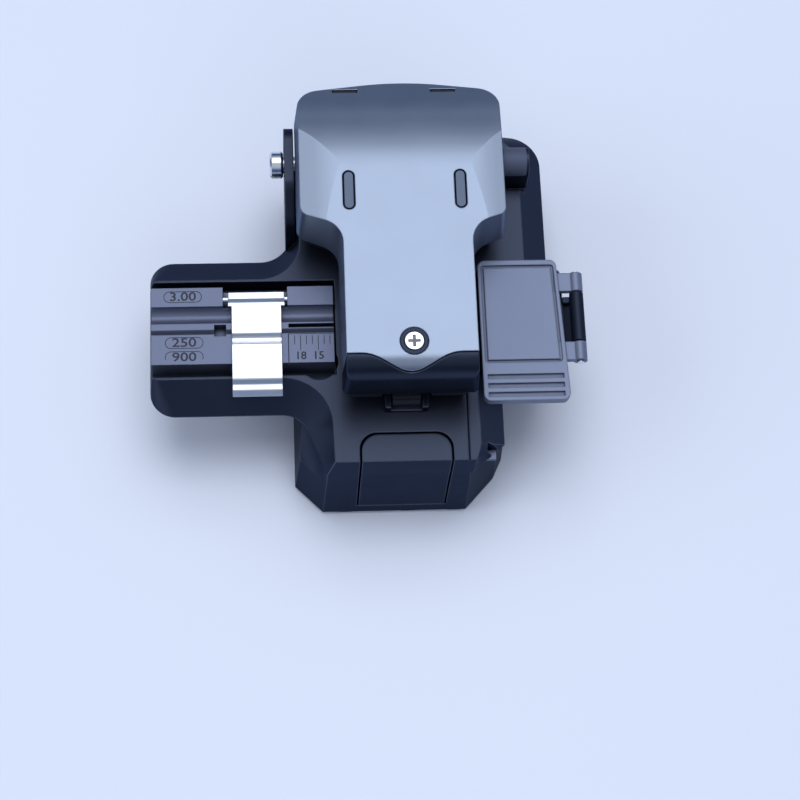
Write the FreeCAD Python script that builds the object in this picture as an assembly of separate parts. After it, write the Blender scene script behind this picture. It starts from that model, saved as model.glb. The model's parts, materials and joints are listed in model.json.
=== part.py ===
"""Compact fibre cleaver, built as separate pieces in one frame.

Frame, in millimetres: X runs along the fibre with the blade's plane at 0, Y runs to the
back with the fibre's line at 0, and Z stands up from the surface that the sole rests on.
"""
import FreeCAD, Part
import math
import os

V = FreeCAD.Vector
X_AXIS = V(1, 0, 0)
Y_AXIS = V(0, 1, 0)
Z_AXIS = V(0, 0, 1)

# ---- clearances -------------------------------------------------------------------
RUN = 0.05          # radial clearance of a pin in its bore
SEAT = 0.10         # clearance round a piece that is let into a pocket
GAP = 0.35          # open joint line round a piece that slides or lifts out

# ---- heights ----------------------------------------------------------------------
SOLE_T = 1.2        # rubber sole under the bottom cover
COVER_T = 1.8       # bottom cover
CREASE_Z = 14.5     # crease round the foot of the housing
WING_LOW_Z = 14.5   # underside of both wings
EDGE_Z = 20.0       # widest level of both wings
TOP_Z = 26.0        # flat top of the housing and rims of the rail channel
FLOOR_Z = 22.0      # floor of the rail channel
RAIL_Z = 27.0       # top of the rail plate
BLOCK_Z = 27.4      # top of the two raised blocks on the rail plate
PAD_Z = 26.5        # top of the lower clamp pads, where the fibre lies
PAD_GAP = 0.15      # space between the closed pads

# ---- plan sizes of the housing ----------------------------------------------------
WING_X = -43.8      # left end of the left wing
RIGHT_X = 25.7      # right side of the right wing at its widest
FOOT_FRONT_Y = -24.5
FOOT_REAR_Y = 40.4
FOOT_LEFT_X = -19.2
FOOT_RIGHT_X = 17.8
RIM_FRONT_Y = -8.1
RIM_REAR_Y = 10.0
CHANNEL_FRONT_Y = -7.7
CHANNEL_REAR_Y = 9.6
CHANNEL_END_X = -12.0
BAY_X = 11.0        # half width of the carriage bay
BAY_FRONT_Y = -21.3
BAY_REAR_Y = 20.0
BAY_TOP_Z = 23.0
SHOULDER_X = 4.6    # width of the sloped shoulder along the right side
SHOULDER_REAR = 2.6
LOCK_X = (13.2, 15.1)   # window of the lock slide in the front right shoulder
LOCK_Y = (-20.9, -19.8)
LOCK_Z = 19.2

# ---- rail plate -------------------------------------------------------------------
RAIL_X0 = -43.3
RAIL_X1 = -12.3
RAIL_FRONT_Y = -5.8
RAIL_REAR_Y = 8.0
BLOCK_FRONT_Y = 4.4
LEFT_BLOCK_X = -31.1
RIGHT_BLOCK_X = -20.1
WIDE_GROOVE_Y = 3.05
WIDE_GROOVE_R = 1.5
FIBRE_GROOVE = 0.45

# ---- fibre clip -------------------------------------------------------------------
CLIP_X = -25.4
CLIP_W = 8.4
CLIP_TEE = 4.8
CLIP_T = 0.5
CLIP_AXIS_Y = 6.0
CLIP_AXIS_Z = 26.6
CLIP_PIN_R = 0.55

# ---- lever ------------------------------------------------------------------------
HINGE_Y = 29.7
HINGE_Z = 30.0
HINGE_PIN_R = 1.5
LEVER_LEFT = 17.7   # side walls of the wide back, from the blade's plane
LEVER_RIGHT = 16.5
LEVER_NARROW = 10.7  # half width at the front
LEVER_FRONT_Y = -13.3
LEVER_REAR_Y = 41.1
SHOULDER_Y = 12.4   # where the narrow front meets the shoulders
SHOULDER_RISE = 2.8  # how far the shoulders sweep back
REAR_SWEEP = 0.14   # slope of the arched rear edge
LEVER_TOP_Z = 42.0  # deck of the lever at its front
RIDGE_Y = 27.3
RIDGE_Z = 43.0
RIDGE_R = 30.0
REAR_BEND = 8.2     # from the ridge back to the bend of the rear slope
REAR_SLOPES = (0.30, 0.42)
HIP_X = 11.7
HIP_SLOPE = 0.17
HIP_R = 40.0
NOSE_R = 3.6        # roll from the deck to the front wall
SKIRT_Z = 33.0      # lower edge of the cover
DRAFT = 1.4         # how far the walls lean out over DRAFT_H
DRAFT_H = 24.0
SHELL_T = 1.6
ROOF_T = 2.8        # least roof of the frame's hollow back
FRAME_LOW_Z = 27.8
LEVER_SIDE_GAP = 0.2  # from the lever's widest point to the cheek and the barrel
CHEEK_T = 1.6
BARREL_END_X = 22.4
BARREL_R = 2.5

# ---- clamp pads and anvil ---------------------------------------------------------
PAD_X = 4.4         # pads lie this far to each side of the blade
PAD_HALF_X = 2.6
PAD_HALF_Y = 3.2
PAD_T = 1.1
PAD_CHAMFER = 0.3
HOLDER_T = 1.8
UPPER_HOLDER_T = 3.2
ANVIL_R = 1.2
ANVIL_LOW_Z = 27.3
ANVIL_TIP_T = 1.0
ANVIL_STEM_H = 4.3
ANVIL_TRAVEL = 1.4  # free bore over the stem

# ---- blade and carriage -----------------------------------------------------------
BLADE_R = 8.0
BLADE_T = 0.8
BLADE_TOP_Z = 26.6
BLADE_Y = 6.0       # wheel centre with the carriage pushed home
STROKE = 12.0
CARRIAGE_X = 6.5    # half width of the sled
PANEL_X0 = -8.15     # front panel that the thumb moves the carriage by
PANEL_X1 = 6.95
PANEL_BACK_Y = -18.6
PANEL_LOW_Z = 4.4
GUIDE_X = 9.7
GUIDE_R = 0.8
GUIDE_Z = 7.5

# ---- scrap bin --------------------------------------------------------------------
BIN_X0 = 12.8
BIN_X1 = 27.0
BIN_Y0 = -7.6
BIN_Y1 = 10.4
BIN_Z0 = 11.0
BIN_Z1 = 27.9
BIN_WALL = 1.2
LID_X0 = 12.5
LID_FRONT_X = 27.2
LID_REAR_X = 26.0
LID_Y0 = -14.4
LID_Y1 = 11.1
FINGER_GROOVES = [-10.1, -11.7, -13.3]
LID_Z0 = 28.2
LID_Z1 = 30.0
LID_AXIS_X = 29.3
LID_AXIS_Z = 29.0
KNUCKLE_R = 1.2
LID_PIN_R = 0.6
KNUCKLES = [(-7.35, -3.8), (-3.8, 5.2), (5.2, 8.8)]
KNUCKLE_PLAY = 0.15


# ---- drawing helpers --------------------------------------------------------------
def spot(plane, u, v, level):
    """A point of a sketch plane at a level along the plane's normal."""
    if plane == "XY":
        return V(u, v, level)
    if plane == "YZ":
        return V(level, u, v)
    return V(u, level, v)


def outline_edges(corners, level, plane="XY"):
    """Edges of a closed outline through corners (u, v, radius), with arcs for the radii."""
    points = [spot(plane, u, v, level) for u, v, r in corners]
    count = len(points)
    joins = []
    for i in range(count):
        here = points[i]
        radius = corners[i][2]
        if radius <= 0:
            joins.append((here, None, here))
            continue
        back = (points[i - 1] - here).normalize()
        ahead = (points[(i + 1) % count] - here).normalize()
        half = back.getAngle(ahead) / 2
        reach = radius / math.tan(half)
        middle = (back + ahead).normalize()
        crown = here + middle * (radius / math.sin(half) - radius)
        joins.append((here + back * reach, crown, here + ahead * reach))
    edges = []
    for i in range(count):
        start, crown, end = joins[i]
        if crown is not None:
            edges.append(Part.Arc(start, crown, end).toShape())
        following = joins[(i + 1) % count][0]
        if end.distanceToPoint(following) > 1e-6:
            edges.append(Part.LineSegment(end, following).toShape())
    return edges


def wire(corners, level, plane="XY"):
    return Part.Wire(outline_edges(corners, level, plane))


def prism(corners, low, high, plane="XY"):
    """Straight solid on an outline, from one level to another."""
    normal = {"XY": Z_AXIS, "YZ": X_AXIS, "XZ": Y_AXIS}[plane]
    return Part.Face(wire(corners, low, plane)).extrude(normal * (high - low))


def side_face(low_edge, high_edge):
    """Side between two edges of stacked outlines: flat where it can be, else ruled."""
    a, b = [v.Point for v in low_edge.Vertexes]
    c, d = [v.Point for v in high_edge.Vertexes]
    across = (b - a).cross(d - a).normalize()
    if low_edge.Curve.TypeId == "Part::GeomLine" and abs((c - a).dot(across)) < 1e-6:
        return Part.Face(Part.makePolygon([a, b, d, c, a]))
    return Part.makeRuledSurface(low_edge, high_edge)


def edge_between(solid, start, end):
    """The edge of a solid that joins two points."""
    for edge in solid.Edges:
        ends = [v.Point for v in edge.Vertexes]
        for first, last in (ends[:2], ends[1::-1]):
            if first.distanceToPoint(start) + last.distanceToPoint(end) < 1e-4:
                return edge
    raise ValueError("no edge from %s to %s" % (start, end))


def loft(corners_low, low, corners_high, high):
    """Solid between two outlines with the same corners, one above the other."""
    rings = [outline_edges(corners_low, low), outline_edges(corners_high, high)]
    faces = [Part.Face(Part.Wire(ring)) for ring in rings]
    faces += [side_face(a, b) for a, b in zip(*rings)]
    shell = Part.Shell(faces)
    shell.sewShape()
    return Part.Solid(shell).removeSplitter()


def rolled_loft(corners_low, low, corners_high, high):
    """Loft with flat sides, and a constant radius rolled along each upright edge."""
    outlines = [[(u, v, 0) for u, v, r in corners] for corners in (corners_low, corners_high)]
    solid = loft(outlines[0], low, outlines[1], high)
    for (u0, v0, radius), (u1, v1, _) in zip(corners_low, corners_high):
        edge = edge_between(solid, V(u0, v0, low), V(u1, v1, high))
        solid = solid.makeFillet(radius, [edge])
    return solid


def box(x0, x1, y0, y1, z0, z1):
    return Part.makeBox(x1 - x0, y1 - y0, z1 - z0, V(x0, y0, z0))


def rod_x(x0, x1, y, z, radius):
    return Part.makeCylinder(radius, x1 - x0, V(x0, y, z), X_AXIS)


def rod_y(y0, y1, x, z, radius):
    return Part.makeCylinder(radius, y1 - y0, V(x, y0, z), Y_AXIS)


def rod_z(z0, z1, x, y, radius):
    return Part.makeCylinder(radius, z1 - z0, V(x, y, z0), Z_AXIS)


def rounded(x0, x1, y0, y1, radius):
    """Corners of a rounded rectangle."""
    return [(x0, y0, radius), (x1, y0, radius), (x1, y1, radius), (x0, y1, radius)]


def stadium(x, y, width, length):
    """Corners of a slot shape that runs along Y."""
    half = width / 2
    return rounded(x - half, x + half, y - length / 2, y + length / 2, half - 0.01)


PARTS = {}


def keep(name, shape):
    """Record one sub-part under its node name."""
    solid = shape.removeSplitter()
    PARTS[name] = solid.Solids[0] if len(solid.Solids) == 1 else solid


# ---- housing ----------------------------------------------------------------------
def top_outline():
    """Flat top: both wings and the front, inside the sloped shoulder."""
    return [
        (-12.7, -23.4, 0), (11.2, -23.4, 0), (12.0, -20.6, 0), (12.0, -6.5, 0),
        (RIGHT_X - SHOULDER_X, -5.5, 0), (RIGHT_X - SHOULDER_X, 39.4 - SHOULDER_REAR, 6.0),
        (-17.8, 39.4 - SHOULDER_REAR, 3.0), (-17.8, RIM_REAR_Y, 7.0),
        (WING_X + 0.5, RIM_REAR_Y, 1.2), (WING_X + 0.5, RIM_FRONT_Y, 1.2),
        (-13.0, RIM_FRONT_Y, 8.5),
    ]


def edge_outline(inset=0.0):
    """Widest level of the wings, where the shoulder ends; inset draws the wings' soles."""
    n = inset
    return [
        (-13.9, -23.7 + n, 0), (11.0, -23.7 + n, 0), (16.6 - n, -18.9, 0), (16.6 - n, -6.5, 0),
        (RIGHT_X - n, -5.5, 0), (RIGHT_X - n, 39.4 - n, 6.0), (FOOT_LEFT_X + n, 39.4 - n, 3.0),
        (FOOT_LEFT_X + n, 15.7 - n, 5.5), (WING_X + n, 15.7 - n, 4.0), (WING_X + n, -12.8 + n, 4.4),
        (-18.0 + n, -12.8 + n, 5.0),
    ]


def column_outline(front, rear, left, right, chamfer, sweep):
    """Outline of the housing's foot at one level; sweep is the left chamfer along Y."""
    return [
        (left + chamfer, front, 0), (right - chamfer - 2.0, front, 0),
        (right - 1.6, front + chamfer + 0.8, 0), (right, front + chamfer + 4.2, 0),
        (right, rear, 5.0), (left, rear, 5.0), (left, front + sweep, 0),
    ]


def housing_envelope():
    """Outer form of the housing: foot, left wing, right wing and shoulders."""
    foot = column_outline(FOOT_FRONT_Y, FOOT_REAR_Y, FOOT_LEFT_X, FOOT_RIGHT_X, 4.8, 4.8)
    crease = column_outline(-23.8, 39.8, -18.4, 17.2, 4.4, 4.8)
    upper = column_outline(-23.7, 39.4, -18.0, 16.6, 4.1, 10.9)
    body = loft(foot, SOLE_T, crease, CREASE_Z)
    body = body.fuse(loft(crease, CREASE_Z, upper, EDGE_Z))
    body = body.fuse(loft(edge_outline(), EDGE_Z, top_outline(), TOP_Z))
    soles = loft(edge_outline(2.6), WING_LOW_Z, edge_outline(), EDGE_Z)
    body = body.fuse(soles.common(box(-60, FOOT_LEFT_X + 3.0, -30, 60, 0, 60)))
    return body.fuse(soles.common(box(FOOT_RIGHT_X - 4.0, 60, -8, 60, 0, 60)))


def panel_outline(grow):
    """Arch of the slide's front panel in plan, open to the front."""
    left = PANEL_X0 - grow
    right = PANEL_X1 + grow
    back = PANEL_BACK_Y + grow
    return [(left, -40, 0), (right, -40, 0), (right, back, 2.9), (left, back, 2.9)]


# the lever swings between the cheek on the left and the barrel on the right
CROWN_Z = max(LEVER_TOP_Z, RIDGE_Z)
DECK_Z = CROWN_Z + 1.0
LEAN = DRAFT * (DECK_Z - SKIRT_Z) / DRAFT_H
CHEEK_IN_X = -(LEVER_LEFT + LEAN + LEVER_SIDE_GAP)
BARREL_X = LEVER_RIGHT + LEAN + LEVER_SIDE_GAP
WELL_R = LEVER_REAR_Y - HINGE_Y + 3.2
CHEEK_PROFILE = [(-13.5, -15.5, 0), (-10.5, -1.5, 4.0), (-5.0, 3.4, 3.0), (5.2, 3.4, 3.0),
                 (9.0, -4.0, 4.0), (9.6, -15.5, 0)]   # from the hinge, along Y and Z


def hinge_carriers(body):
    """Left cheek and right barrel that hold the lever's pin."""
    profile = [(HINGE_Y + y, HINGE_Z + z, r) for y, z, r in CHEEK_PROFILE]
    cheek = prism(profile, CHEEK_IN_X - CHEEK_T, CHEEK_IN_X, "YZ")
    barrel = rod_x(BARREL_X, BARREL_END_X, HINGE_Y, HINGE_Z, BARREL_R)
    barrel = barrel.fuse(box(BARREL_X, BARREL_END_X, HINGE_Y - BARREL_R, HINGE_Y + BARREL_R,
                             HINGE_Z - 6.0, HINGE_Z))
    body = body.fuse(cheek).fuse(barrel)
    return body.cut(rod_x(-25, BARREL_END_X - 1.0, HINGE_Y, HINGE_Z, HINGE_PIN_R + RUN))


def rear_well():
    """Room behind the hinge for the lever's back edge as it swings down."""
    well = rod_x(CHEEK_IN_X, BARREL_X, HINGE_Y, HINGE_Z, WELL_R)
    well = well.common(box(CHEEK_IN_X, BARREL_X, HINGE_Y, 60, 0, 60))
    return well.fuse(box(CHEEK_IN_X, BARREL_X, HINGE_Y + 8.0, 60, HINGE_Z - 12.0, 60))


SCREWS = [(-14.6, -15.5), (14.0, -15.5), (-14.6, 33.0), (14.0, 33.0)]
SCREW_TOP_Z = 9.0
SOLE_GROOVES = [-9.0, 17.0, 26.0]
COVER_BOX = (-17.4, 16.8, -18.6, 36.4)
PAD_SPOTS = [-PAD_X, PAD_X]
HOLDER_Z = PAD_Z - PAD_T - HOLDER_T
RAIL_SCREWS = [-38.0, -24.5]
RAIL_SCREW_Y = -3.0


def clamp_pad(x, back, face):
    """Rubber pad that is chamfered at its working face, which may look up or down."""
    edge = face - math.copysign(PAD_CHAMFER, face - back)
    half, slim = PAD_HALF_Y, PAD_HALF_Y - PAD_CHAMFER
    return prism([(-half, back, 0), (half, back, 0), (half, edge, 0), (slim, face, 0),
                  (-slim, face, 0), (-half, edge, 0)], x - PAD_HALF_X, x + PAD_HALF_X, "YZ")


def base_housing():
    body = housing_envelope()
    body = body.cut(box(-60, CHANNEL_END_X, CHANNEL_FRONT_Y, CHANNEL_REAR_Y, FLOOR_Z, 40))
    body = body.cut(rod_z(FLOOR_Z, 40, -14.9, -5.4, 3.2))
    body = body.cut(rear_well())
    body = hinge_carriers(body)
    # slot in front of the right barrel
    body = body.cut(box(BARREL_X + 0.5, BARREL_END_X, HINGE_Y - BARREL_R - 1.0,
                        HINGE_Y - BARREL_R, TOP_Z - 1.4, 40))
    # bay of the blade carriage, its front mouth and the blade's slot
    body = body.cut(box(-BAY_X, BAY_X, BAY_FRONT_Y, BAY_REAR_Y, SOLE_T + COVER_T, BAY_TOP_Z))
    body = body.cut(prism(panel_outline(GAP), PANEL_LOW_Z - GAP, 40))
    body = body.cut(box(-1.6, 1.6, -13.4, 14.4, BAY_TOP_Z - 1, 40))
    # recess of the scrap bin and the groove for its runner
    body = body.cut(box(BIN_X0 - GAP, 60, BIN_Y0 - GAP, BIN_Y1 + GAP, BIN_Z0 - SEAT, 40))
    body = body.cut(box(BIN_X0 - GAP, 60, -1.5 - SEAT, 3.5 + SEAT, BIN_Z0 - 1.6 - SEAT, 20))
    # pockets of the lower pads and seat of the catch
    for x in PAD_SPOTS:
        body = body.cut(box(x - PAD_HALF_X - SEAT, x + PAD_HALF_X + SEAT, -PAD_HALF_Y - SEAT,
                            PAD_HALF_Y + SEAT, HOLDER_Z, 40))
    # rebate of the bottom cover and its screw holes
    x0, x1, y0, y1 = COVER_BOX
    body = body.cut(prism(rounded(x0 - SEAT, x1 + SEAT, y0 - SEAT, y1 + SEAT, 3.0), 0,
                          SOLE_T + COVER_T))
    for x, y in SCREWS:
        body = body.cut(rod_z(0, SCREW_TOP_Z + 0.2, x, y, 1.0 + RUN))
    for side in (-1, 1):
        body = body.cut(rod_y(BAY_FRONT_Y - 1.2, BAY_REAR_Y + 1.2, side * GUIDE_X, GUIDE_Z,
                              GUIDE_R + RUN))
    for x in RAIL_SCREWS:
        body = body.cut(rod_z(0, 40, x, RAIL_SCREW_Y, 1.1))
        body = body.cut(rod_z(0, WING_LOW_Z + 1.6, x, RAIL_SCREW_Y, 2.1))
    # window of the lock slide in the right shoulder, open to the front for its thumb ridge
    body = body.cut(box(*LOCK_X, *LOCK_Y, LOCK_Z - 0.7, 40))
    body = body.cut(box(*LOCK_X, -30, LOCK_Y[1], LOCK_Z, LOCK_Z + 1.0))
    # joint line of the right side plate
    body = body.cut(box(9.8, 10.05, -30, BIN_Y0 - 1.0, TOP_Z - 0.4, 40))
    keep("base_housing", body)


def housing_fittings():
    x0, x1, y0, y1 = COVER_BOX
    cover = prism(rounded(x0, x1, y0, y1, 3.0), SOLE_T, SOLE_T + COVER_T)
    for x, y in SCREWS:
        cover = cover.cut(rod_z(0, SCREW_TOP_Z, x, y, 1.25))
        cover = cover.cut(Part.makeCone(2.3, 1.25, 1.1, V(x, y, SOLE_T), Z_AXIS))
    keep("bottom_cover", cover)
    sole = prism(rounded(-12.4, 12.0, -17.0, 34.0, 3.0), 0, SOLE_T)
    for y in SOLE_GROOVES:
        sole = sole.cut(box(-9.6, 9.2, y - 1.0, y + 1.0, -1, 0.5))
    keep("rubber_sole", sole)
    for x, name in ((-10.4, "left"), (0.8, "middle"), (9.0, "right")):
        keep("front_foot_" + name, prism(rounded(x - 1.8, x + 1.8, FOOT_FRONT_Y + 0.3,
                                                 FOOT_FRONT_Y + 3.9, 0.8), 0, SOLE_T))
    for i, (x, y) in enumerate(SCREWS):
        screw = Part.makeCone(2.2, 1.0, 1.0, V(x, y, SOLE_T + 0.05), Z_AXIS)
        screw = screw.fuse(rod_z(SOLE_T + 1.0, SCREW_TOP_Z, x, y, 1.0))
        screw = screw.cut(box(x - 0.25, x + 0.25, y - 2.5, y + 2.5, 0, SOLE_T + 0.5))
        keep("bottom_screw_%d" % (i + 1), screw)
    for side, name in ((-1, "left"), (1, "right")):
        keep("guide_rod_" + name,
             rod_y(BAY_FRONT_Y - 1.0, BAY_REAR_Y + 1.0, side * GUIDE_X, GUIDE_Z, GUIDE_R))
    for x, name in zip(PAD_SPOTS, ("left", "right")):
        keep("lower_pad_holder_" + name,
             box(x - PAD_HALF_X, x + PAD_HALF_X, -PAD_HALF_Y, PAD_HALF_Y, HOLDER_Z,
                 HOLDER_Z + HOLDER_T))
        keep("lower_pad_" + name, clamp_pad(x, PAD_Z - PAD_T, PAD_Z))
    catch = prism(rounded(-4.1, 3.3, -14.7, -12.2, 0.4), TOP_Z, TOP_Z + 2.2)
    catch = catch.cut(box(-3.1, 2.2, -16, -11, TOP_Z + 0.7, 40))
    keep("catch_block", catch)
    x0, x1 = LOCK_X[0] + SEAT, LOCK_X[1] - SEAT
    slide = box(x0, x1, LOCK_Y[0] + SEAT, LOCK_Y[1] - SEAT, LOCK_Z - 0.6, LOCK_Z + 0.9)
    keep("lock_slide", slide.fuse(box(x0, x1, LOCK_Y[0] - 0.6, LOCK_Y[1] - SEAT, LOCK_Z + SEAT,
                                      LOCK_Z + 0.9)))
    head_x = CHEEK_IN_X - CHEEK_T - 0.2
    pin = rod_x(head_x, BARREL_END_X - 1.2, HINGE_Y, HINGE_Z, HINGE_PIN_R)
    head = rod_x(head_x - 2.3, head_x, HINGE_Y, HINGE_Z, 2.35)
    head = head.makeChamfer(0.35, head.Edges[:1] + head.Edges[2:3])
    slot = box(-30, head_x - 1.7, HINGE_Y - 3, HINGE_Y + 3, HINGE_Z - 0.3, HINGE_Z + 0.3)
    keep("lever_hinge_pin", pin.fuse(head.cut(slot)))


# ---- fibre rail -------------------------------------------------------------------
def fibre_rail():
    plate = box(RAIL_X0, RAIL_X1, RAIL_FRONT_Y, RAIL_REAR_Y, FLOOR_Z, RAIL_Z)
    for x0, x1 in ((RAIL_X0, LEFT_BLOCK_X), (RIGHT_BLOCK_X, RAIL_X1)):
        plate = plate.fuse(box(x0, x1, BLOCK_FRONT_Y + 0.1, RAIL_REAR_Y, RAIL_Z - 1, BLOCK_Z))
    # bay of the clip's roll between the blocks
    plate = plate.cut(box(LEFT_BLOCK_X, RIGHT_BLOCK_X, BLOCK_FRONT_Y, 20, 25.0, 40))
    plate = plate.cut(rod_x(RAIL_X0 - 1, RAIL_X1 + 1, WIDE_GROOVE_Y, RAIL_Z + 0.3, WIDE_GROOVE_R))
    v = FIBRE_GROOVE
    plate = plate.cut(prism([(-v, RAIL_Z + 0.01, 0), (0, RAIL_Z - v, 0), (v, RAIL_Z + 0.01, 0)],
                            RAIL_X0 - 1, RAIL_X1 + 1, "YZ"))
    plate = plate.cut(box(-20.0, RAIL_X1 + 1, 0.6, 1.3, RAIL_Z - 1.4, 40))
    plate = plate.cut(box(-32.6, -30.6, -0.8, 1.3, RAIL_Z - 1.8, 40))
    # pocket of the ruler
    plate = plate.cut(box(-20.0 - SEAT, RAIL_X1 + 1, RAIL_FRONT_Y - 1, -0.55, RAIL_Z - 0.8, 40))
    for x in RAIL_SCREWS:
        plate = plate.cut(rod_z(0, RAIL_Z - 1.5, x, RAIL_SCREW_Y, 1.0 + RUN))
    pin_bore = rod_x(LEFT_BLOCK_X - 1.4, RIGHT_BLOCK_X + 1.4, CLIP_AXIS_Y, CLIP_AXIS_Z,
                     CLIP_PIN_R + RUN)
    keep("fibre_rail_plate", plate.cut(pin_bore))
    keep("ruler_insert", box(-20.0, RAIL_X1, RAIL_FRONT_Y, -0.55 - RUN, RAIL_Z - 0.8, RAIL_Z))
    for i, x in enumerate(RAIL_SCREWS):
        screw = rod_z(WING_LOW_Z + 0.2, WING_LOW_Z + 1.6, x, RAIL_SCREW_Y, 1.9)
        screw = screw.fuse(rod_z(WING_LOW_Z + 1.0, RAIL_Z - 1.7, x, RAIL_SCREW_Y, 1.0))
        screw = screw.cut(box(x - 0.25, x + 0.25, RAIL_SCREW_Y - 2, RAIL_SCREW_Y + 2, 0,
                              WING_LOW_Z + 0.6))
        keep("rail_screw_%d" % (i + 1), screw)
    keep("clip_hinge_pin", rod_x(LEFT_BLOCK_X - 1.3, RIGHT_BLOCK_X + 1.3, CLIP_AXIS_Y,
                                 CLIP_AXIS_Z, CLIP_PIN_R))


def fibre_clip():
    """Bent sheet: roll on the pin, rear pad, valley, front pad, step and curled lip."""
    t = CLIP_T
    y, z = CLIP_AXIS_Y, CLIP_AXIS_Z
    r_in = CLIP_PIN_R + RUN
    roll = rod_x(CLIP_X - CLIP_TEE, CLIP_X + CLIP_TEE, y, z, r_in + t)
    head = z + r_in + t
    pad_z = RAIL_Z + 1.25
    rear = prism([(y, head, 0), (y, head - t, 0), (y - 1.4, pad_z - t, 0.5),
                  (-0.5, pad_z - t, 0.3), (-1.1, RAIL_Z + 0.1, 0.3), (-2.4, RAIL_Z + 0.1, 0.3),
                  (-3.0, pad_z - t, 0.3), (-8.6, pad_z - t, 0.4), (-9.4, 27.0, 0.4),
                  (-10.5, 27.0, 0.5), (-11.2, 26.2, 0), (-11.6, 26.5, 0),
                  (-10.8, 27.0 + t, 0.5), (-9.8, 27.0 + t, 0.4), (-9.0, pad_z, 0.6),
                  (-2.7, pad_z, 0.4), (-2.05, RAIL_Z + 0.1 + t, 0.2),
                  (-1.45, RAIL_Z + 0.1 + t, 0.2), (-0.8, pad_z, 0.4), (y - 1.2, pad_z, 0.5)],
                 CLIP_X - CLIP_W / 2, CLIP_X + CLIP_W / 2, "YZ")
    tee = prism([(y, head, 0), (y, head - t, 0), (y - 1.3, pad_z - t, 0.3),
                 (y - 1.8, pad_z - t, 0), (y - 1.8, pad_z, 0), (y - 1.2, pad_z, 0.5)],
                CLIP_X - CLIP_TEE, CLIP_X + CLIP_TEE, "YZ")
    sheet = roll.fuse(tee).fuse(rear)
    sheet = sheet.cut(rod_x(-60, 0, y, z, r_in))
    keep("fibre_clip", sheet)
    for name, y0, y1 in (("rear", 0.9, 3.2), ("front", -8.6, -3.4)):
        low = RAIL_Z + 0.05
        y_low = max(y0, RAIL_FRONT_Y + 0.3)
        keep("clip_pad_" + name, box(CLIP_X - 3.6, CLIP_X + 3.6, y_low, y1, low, pad_z - t))


# ---- blade carriage ---------------------------------------------------------------
def blade_carriage():
    z = BLADE_TOP_Z - BLADE_R
    sled = box(-CARRIAGE_X, CARRIAGE_X, BAY_FRONT_Y, 13.0, 5.4, 9.2)
    sled = sled.fuse(box(-GUIDE_X - 0.9, GUIDE_X + 0.9, -6.0, 12.0, 6.0, 9.0))
    for side in (-1, 1):
        low, high = sorted((side * 1.75, side * 4.6))
        cheek = prism([(1.2, 9.0, 0), (10.8, 9.0, 0), (9.6, 20.8, 2.6), (2.4, 20.8, 2.6)],
                      low, high, "YZ")
        sled = sled.fuse(cheek)
    upright = prism([(BAY_FRONT_Y, 5.4, 0), (BAY_FRONT_Y + 8.0, 9.0, 0),
                     (BAY_FRONT_Y + 2.2, 14.0, 1.0), (BAY_FRONT_Y + 2.2, 22.6, 0),
                     (BAY_FRONT_Y, 22.6, 0)], -6.4, 6.4, "YZ")
    sled = sled.fuse(upright)
    for side in (-1, 1):
        sled = sled.cut(rod_y(-60, 60, side * GUIDE_X, GUIDE_Z, GUIDE_R + RUN))
    sled = sled.cut(rod_x(-10, 10, BLADE_Y, z, 1.5 + RUN))
    sled = sled.cut(box(-1.75, 1.75, -2.6, 14.6, 9.0, 20))
    keep("blade_carriage", sled)
    axle = rod_x(-4.6, 4.7, BLADE_Y, z, 1.5).fuse(rod_x(4.65, 5.9, BLADE_Y, z, 2.6))
    keep("blade_axle", axle.cut(box(5.3, 6, 0, 12, z - 0.3, z + 0.3)))
    # the wheel has a ground bevel on both sides of its edge
    edge = 0.9
    profile = [(0.0, 2.55), (BLADE_T / 2, 2.55), (BLADE_T / 2, BLADE_R - edge), (0.05, BLADE_R)]
    points = [V(x, 0, r) for x, r in profile]
    points += [V(-x, 0, r) for x, r in reversed(profile)][:-1]
    wheel = Part.Face(Part.makePolygon(points + [points[0]])).revolve(V(0, 0, 0), X_AXIS, 360)
    wheel.translate(V(0, BLADE_Y, z))
    keep("blade_wheel", wheel)
    hub = rod_x(-1.4, -BLADE_T / 2, BLADE_Y, z, 4.1).fuse(rod_x(-1.4, 1.4, BLADE_Y, z, 2.5))
    hub = hub.fuse(rod_x(BLADE_T / 2, 1.4, BLADE_Y, z, 3.4))
    for step in range(12):
        a = math.radians(30 * step)
        hub = hub.cut(rod_x(-2, -BLADE_T / 2 - 0.2, BLADE_Y + 4.1 * math.cos(a),
                            z + 4.1 * math.sin(a), 0.45))
    keep("blade_hub", hub.cut(rod_x(-5, 5, BLADE_Y, z, 1.5 + RUN)))
    panel = housing_envelope().common(prism(panel_outline(0), PANEL_LOW_Z, 40))
    panel = panel.cut(box(-20, 20, BAY_FRONT_Y, 0, 0, 24.0))
    keep("carriage_front_panel", panel)


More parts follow.
